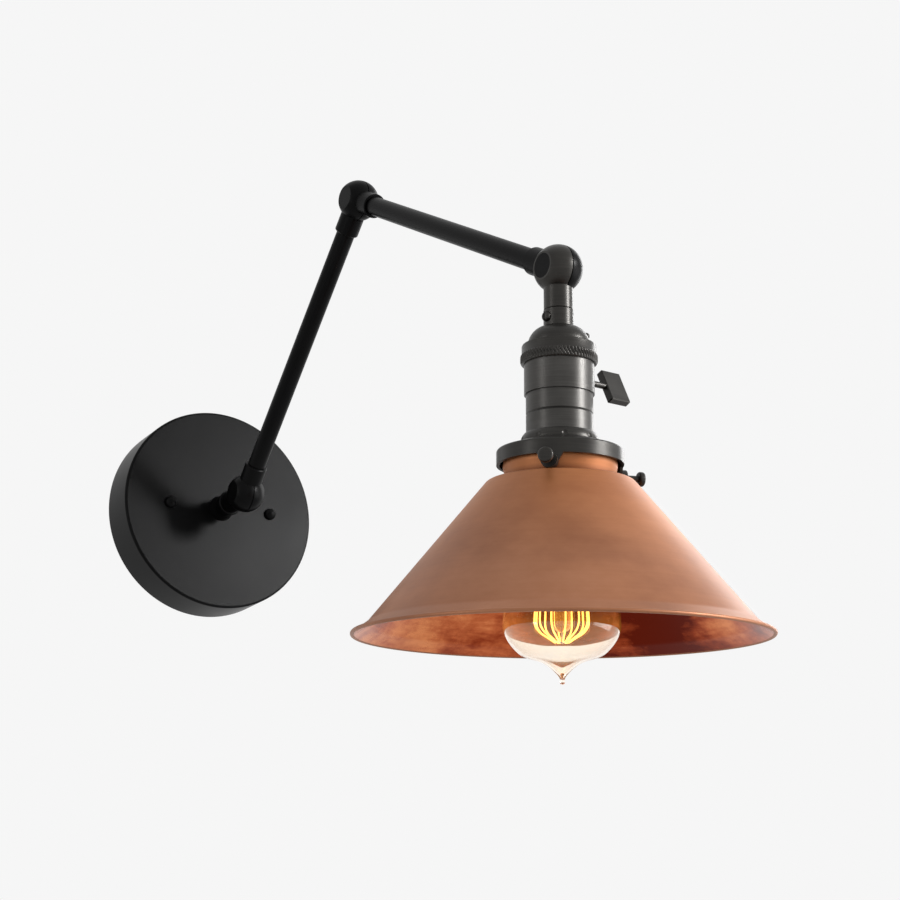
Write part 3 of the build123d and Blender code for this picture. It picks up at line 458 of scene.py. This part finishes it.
def copper_outside(n, place, tone, radius):
    """Brown copper that grows warmer towards the neck, with painted shade at the neck's foot."""
    level = n.level(place)
    warmth = n.span_mm(level, 0, 1, WARM_SPAN)
    colour = n.mix(warmth, n.ramp(tone, COPPER_OUTSIDE), n.ramp(tone, COPPER_WARMER))
    # painted shade in the crease at the neck's foot
    on_neck = n.span_mm(radius, 1, 0, GROOVE_SHADE_REACH)
    groove_shade = n.math("MULTIPLY", on_neck, n.span_mm(level, 0, 1, GROOVE_SHADE_SPAN))
    return n.mix(groove_shade, colour, COPPER_GROOVE_SHADE)


def copper_inside(n, place, outward):
    """Red copper with stains and streaks, made darker towards one side by painted shade."""
    stain = n.noise(n.stretch(place, COPPER_STAINS, location=STAIN_SHIFT), detail=6, roughness=0.65)
    streak = n.noise(n.stretch(place, COPPER_STREAKS), detail=4, roughness=0.6)
    mottle = n.blend((stain, 0.8), (streak, 0.2))
    # painted shade: the inner face darkens towards one side, and the rest is lifted a little as painted light
    nearness = n.dot(outward, (math.cos(PAINTED_DARK_TURN), math.sin(PAINTED_DARK_TURN), 0))
    painted_shade = n.span(nearness, *COPPER_PAINTED_SHADE, math.cos(PAINTED_DARK_START), math.cos(PAINTED_DARK_FULL))
    return n.ramp(n.math("ADD", mottle, painted_shade), COPPER_INSIDE)


def aged_copper():
    """Mottled copper with faint spinning lines and painted shade at the neck's foot; redder, stained, glossier and
    darker to one side with painted shade inside the cone.
    """
    material, n, shader = new_material("aged_copper")
    place = n.head_place()
    radius, outward = n.around(place)
    cloud = n.noise(n.stretch(place, COPPER_CLOUDS), detail=4)
    patch = n.noise(n.stretch(place, COPPER_PATCHES), detail=5, roughness=0.6)
    lines = n.noise(n.stretch(place, SPINNING_LINES), detail=3)
    tone = n.blend((cloud, 0.6), (lines, 0.06), (patch, 0.3))
    inner = n.add("ShaderNodeAttribute", attribute_name=INNER_FACE).outputs["Fac"]
    outside = copper_outside(n, place, tone, radius)
    inside = copper_inside(n, place, outward)
    n.link(n.mix(inner, outside, inside), shader.inputs["Base Color"])
    n.link(n.span(inner, *COPPER_METALLIC), shader.inputs["Metallic"])
    roughness = n.blend((n.span(tone, *COPPER_ROUGHNESS), 1), (inner, -COPPER_INNER_SHINE))
    n.link(roughness, shader.inputs["Roughness"])
    n.bump(lines, shader, strength=0.02)
    return material


def plain_metal(name, low, high, roughness):
    material, n, shader = new_material(name)
    cloud = n.noise(n.place(), scale=320, detail=4)
    n.link(n.ramp(cloud, two_tone(low, high)), shader.inputs["Base Color"])
    shader.inputs["Metallic"].default_value = 1
    varied = n.span(cloud, roughness - METAL_VARIATION, roughness + METAL_VARIATION)
    n.link(varied, shader.inputs["Roughness"])
    n.bump(cloud, shader, strength=0.06)
    return material


def plain_dull(name, low, high, roughness):
    material, n, shader = new_material(name)
    cloud = n.noise(n.place(), scale=500, detail=3)
    n.link(n.ramp(cloud, two_tone(low, high)), shader.inputs["Base Color"])
    varied = n.span(cloud, roughness - DULL_VARIATION, roughness + DULL_VARIATION)
    n.link(varied, shader.inputs["Roughness"])
    n.bump(cloud, shader, strength=0.1)
    return material


def clear_glass(name):
    """Clear glass with a warm tint and the colour of its painted glow."""
    material, n, shader = new_material(name)
    cloud = n.noise(n.head_place(), scale=45, detail=2)
    n.link(n.ramp(cloud, two_tone(*GLASS_COLOURS)), shader.inputs["Base Color"])
    n.link(n.span(cloud, *GLASS_ROUGHNESS), shader.inputs["Roughness"])
    shader.inputs["Transmission Weight"].default_value = 1
    shader.inputs["IOR"].default_value = GLASS_IOR
    shader.inputs["Emission Color"].default_value = PAINTED_GLOW_COLOUR
    return material, n, shader


def bulb_glass():
    """The bulb's own glass, with a painted glow round the filament's foot in place of the filament's light in the
    glass.
    """
    material, n, shader = clear_glass("clear_glass")
    painted_glow = n.span_mm(n.level(n.head_place()), 0, BULB_PAINTED_GLOW, PAINTED_GLOW_SPAN)
    n.link(painted_glow, shader.inputs["Emission Strength"])
    return material


def mount_glass():
    """The glass stem that carries the filament, with an even painted glow."""
    material, _, shader = clear_glass("mount_glass")
    shader.inputs["Emission Strength"].default_value = MOUNT_PAINTED_GLOW
    return material


def hot_wire():
    material, n, shader = new_material("hot_filament")
    cloud = n.noise(n.head_place(), scale=180, detail=2)
    shader.inputs["Base Color"].default_value = WIRE_COLOUR
    n.link(n.ramp(cloud, two_tone(*HOT_COLOURS)), shader.inputs["Emission Color"])
    shader.inputs["Emission Strength"].default_value = HOT_STRENGTH
    return material


def make_materials():
    materials = {
        "black_paint": powder_coat(),
        "aged_copper": aged_copper(),
        "clear_glass": bulb_glass(),
        "mount_glass": mount_glass(),
        "hot_filament": hot_wire(),
    }
    for make, finishes in ((dark_bronze, BRONZES), (plain_metal, METALS), (plain_dull, DULL_FINISHES)):
        for name, values in finishes.items():
            materials[name] = make(name, *values)
    return materials


def dress_nodes(materials):
    for part in frame["record"]["subparts"]:
        mesh = frame["nodes"][part["node"]].data
        mesh.materials.clear()
        mesh.materials.append(materials[OWN_FINISH.get(part["node"], part["material_slot"])])


# Pieces

def add_piece(name, points, faces, material, node):
    """A mesh drawn in millimetres in the lamp head's frame, in place of a node of that body."""
    mesh = bpy.data.meshes.new(name)
    mesh.from_pydata([HEAD @ (Vector(point) * MM) for point in points], [], faces)
    mesh.polygons.foreach_set("use_smooth", [True] * len(mesh.polygons))
    mesh.set_sharp_from_angle(angle=SHARP_ANGLE)
    mesh.materials.append(material)
    piece = bpy.data.objects.new(name, mesh)
    scene.collection.objects.link(piece)
    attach(piece, "lamp_head")
    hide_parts(node)
    return piece


def grid_faces(rows, columns, closed_rows):
    """Quads between rows of points, each row a closed ring."""
    faces = []
    for row in range(rows if closed_rows else rows - 1):
        low = row * columns
        high = (row + 1) % rows * columns
        for i in range(columns):
            k = (i + 1) % columns
            faces.append((low + i, low + k, high + k, high + i))
    return faces


def lathe(rings, sides):
    """The points of an outline of radius and level that is turned about the head's axis."""
    points = []
    for place in rings:
        for i in range(sides):
            turn = math.tau * i / sides
            points.append((place.x * math.cos(turn), place.x * math.sin(turn), place.y))
    return points


def make_clamp_ring(material):
    """The ring that clamps the socket's cap, with a slanting knurl round its band."""
    band = []
    for row in range(KNURL_ROWS + 1):
        share = row / KNURL_ROWS
        height = KNURL_LOW + (KNURL_HIGH - KNURL_LOW) * share
        rise = min(1, min(share, 1 - share) / KNURL_RISE)
        band.append((KNURL_VALLEY_R, height, KNURL_DEPTH * math.sqrt(rise)))
    step = RING_EDGE / 4
    bevel = RING_EDGE * (1 - math.sqrt(0.5))
    profile = [
        (RING_SHELL_BORE, RING_FOOT_Z, 0),
        (RING_TOP_R - step, RING_FOOT_Z, 0),
        *band,
        (RING_TOP_R, KNURL_HIGH + step, 0),
        (RING_TOP_R, RING_TOP_Z - RING_EDGE, 0),
        (RING_TOP_R - bevel, RING_TOP_Z - bevel, 0),
        (RING_TOP_R - RING_EDGE, RING_TOP_Z, 0),
        (RING_CAP_BORE, RING_TOP_Z, 0),
        (RING_CAP_BORE, RING_SEAT_Z, 0),
        (RING_SHELL_BORE, RING_SEAT_Z, 0),
    ]
    columns = KNURL_RIDGES * KNURL_STEPS
    twist = math.tan(KNURL_LEAN) / KNURL_VALLEY_R
    points = []
    for radius, height, depth in profile:
        for i in range(columns):
            turn = math.tau * i / columns
            ridge = 0.5 + 0.5 * math.cos(KNURL_RIDGES * (turn + twist * height))
            out = radius + depth * ridge
            points.append((out * math.cos(turn), out * math.sin(turn), height))
    faces = grid_faces(len(profile), columns, True)
    add_piece("knurled_clamp_ring", points, faces, material, "clamp_ring")


def rounded_path(points, bends, steps):
    """The points of a line whose corners are rounded by the given radii."""
    path = [points[0]]
    for i in range(1, len(points) - 1):
        corner = points[i]
        back = (points[i - 1] - corner).normalized()
        ahead = (points[i + 1] - corner).normalized()
        half = back.angle(ahead) / 2
        middle = corner + (back + ahead).normalized() * (bends[i] / math.sin(half))
        start = corner + back * (bends[i] / math.tan(half)) - middle
        end = corner + ahead * (bends[i] / math.tan(half)) - middle
        sweep = start.angle(end)
        for step in range(steps + 1):
            along = step / steps
            arm = start * math.sin((1 - along) * sweep) + end * math.sin(along * sweep)
            path.append(middle + arm / math.sin(sweep))
    path.append(points[-1])
    return path


def along_path(path, i):
    """The direction of a path at one of its points."""
    return (path[min(i + 1, len(path) - 1)] - path[max(i - 1, 0)]).normalized()


def make_filament(material):
    """One wire that goes down and up round a barrel."""
    corners = []
    bends = []
    for strand in range(FILAMENT_STRANDS):
        turn = math.tau * strand / FILAMENT_STRANDS
        places = FILAMENT_PLACES[::-1] if strand % 2 else FILAMENT_PLACES
        for radius, height, bend in places:
            corners.append(Vector((radius * math.cos(turn), radius * math.sin(turn), height)))
            bends.append(bend)
    path = rounded_path(corners, bends, FILAMENT_BEND_STEPS)
    points = []
    side = Vector((0, 1, 0))
    for i, place in enumerate(path):
        ahead = along_path(path, i)
        side = (side - ahead * side.dot(ahead)).normalized()
        other = ahead.cross(side)
        for k in range(FILAMENT_SIDES):
            turn = math.tau * k / FILAMENT_SIDES
            points.append(place + (side * math.cos(turn) + other * math.sin(turn)) * FILAMENT_WIRE_R)
    faces = grid_faces(len(path), FILAMENT_SIDES, False)
    last = (len(path) - 1) * FILAMENT_SIDES
    faces.append(tuple(reversed(range(FILAMENT_SIDES))))
    faces.append(tuple(range(last, last + FILAMENT_SIDES)))
    add_piece("glowing_filament", points, faces, material, "bulb_filament")


def make_shade(material):
    """The spun cone, flared at its foot and rolled round a bead, with a mark on its inner face."""
    corners = [Vector(corner) for corner in SHADE_CORNERS]
    outer = rounded_path(corners, SHADE_BENDS, SHADE_BEND_STEPS)
    inner = []
    for i, place in enumerate(outer):
        ahead = along_path(outer, i)
        inner.append(place + Vector((ahead.y, -ahead.x)) * SHADE_T)
    ahead = (corners[-1] - corners[-2]).normalized()
    start = math.atan2(-ahead.y, -ahead.x)
    sweep = math.pi + math.acos(SHADE_T / SHADE_BEAD_R) + math.pi / 2
    bead = []
    for step in range(SHADE_BEAD_STEPS + 1):
        turn = start - sweep * step / SHADE_BEAD_STEPS
        bead.append(corners[-1] + Vector((math.cos(turn), math.sin(turn))) * SHADE_BEAD_R)
    inner[-1] = bead[-1] - ahead * SHADE_SEAM
    lip = [Vector((SHADE_LIP_R, SHADE_TOP_Z)), Vector((SHADE_LIP_R, corners[0].y))]
    outer_rings = lip + outer[:-1] + bead
    rings = outer_rings + inner[::-1] + [Vector((inner[0].x, SHADE_TOP_Z))]
    points = lathe(rings, SHADE_SIDES)
    faces = grid_faces(len(rings), SHADE_SIDES, True)
    piece = add_piece("spun_shade", points, faces, material, "shade")
    marks = [float(i // SHADE_SIDES >= len(outer_rings)) for i in range(len(points))]
    piece.data.attributes.new(INNER_FACE, "FLOAT", "POINT").data.foreach_set("value", marks)


def curve_between(start, end, lead, trail, steps):
    """Points on a smooth curve from start up to, but without, end. Lead and trail are its slopes there."""
    points = []
    for step in range(steps):
        t = step / steps
        a = 2 * t**3 - 3 * t**2 + 1
        b = t**3 - 2 * t**2 + t
        c = t**3 - t**2
        points.append(start * a + lead * b + end * (1 - a) + trail * c)
    return points


def glass_outline(inset):
    """The bulb's outline from the top of its neck down to the foot of its bowl."""
    neck = Vector((GLASS_NECK_R - inset, GLASS_NECK_FOOT_Z))
    belly = Vector((GLASS_BELLY[0] - inset, GLASS_BELLY[1]))
    lower = [Vector((max(radius - inset, radius / 2), level + inset)) for radius, level in GLASS_LOWER]
    line = [Vector((neck.x, GLASS_TOP_Z))]
    fall = Vector((0, -(belly - neck).length))
    line += curve_between(neck, belly, fall, fall, GLASS_STEPS * 2)
    places = [belly] + lower
    down = Vector((0, -1))
    slopes = [down] + [along_path(places, i) for i in range(1, len(places) - 1)] + [down]
    for i in range(len(places) - 1):
        reach = (places[i + 1] - places[i]).length
        lead = slopes[i] * reach
        trail = slopes[i + 1] * reach
        line += curve_between(places[i], places[i + 1], lead, trail, GLASS_STEPS)
    return line + [places[-1]]


def make_bulb_glass(material):
    """The blown bulb as a smooth thin shell with a pip at its tip."""
    outer = glass_outline(0)
    inner = glass_outline(GLASS_T)
    low = math.asin(outer[-1].x / GLASS_PIP_R)
    for step in range(1, GLASS_STEPS):
        turn = low + (math.pi - low) * step / GLASS_STEPS
        level = GLASS_TIP_Z + GLASS_PIP_R * (1 + math.cos(turn))
        outer.append(Vector((GLASS_PIP_R * math.sin(turn), level)))
    rings = outer[::-1] + inner
    points = lathe(rings, GLASS_SIDES)
    faces = grid_faces(len(rings), GLASS_SIDES, False)
    tip = len(points)
    points.append((0, 0, GLASS_TIP_Z))
    points.append((0, 0, inner[-1].y))
    last = (len(rings) - 1) * GLASS_SIDES
    for i in range(GLASS_SIDES):
        k = (i + 1) % GLASS_SIDES
        faces.append((tip, k, i))
        faces.append((tip + 1, last + i, last + k))
    add_piece("blown_bulb", points, faces, material, "bulb_glass")


make_camera()
make_world()
make_floor()
for lamp, setting in LAMPS.items():
    area_light(lamp, *setting)
MATERIALS = make_materials()
dress_nodes(MATERIALS)
make_clamp_ring(MATERIALS["dark_bronze"])
make_shade(MATERIALS["aged_copper"])
make_filament(MATERIALS["hot_filament"])
make_bulb_glass(MATERIALS["clear_glass"])

scene.view_settings.view_transform = "Standard"
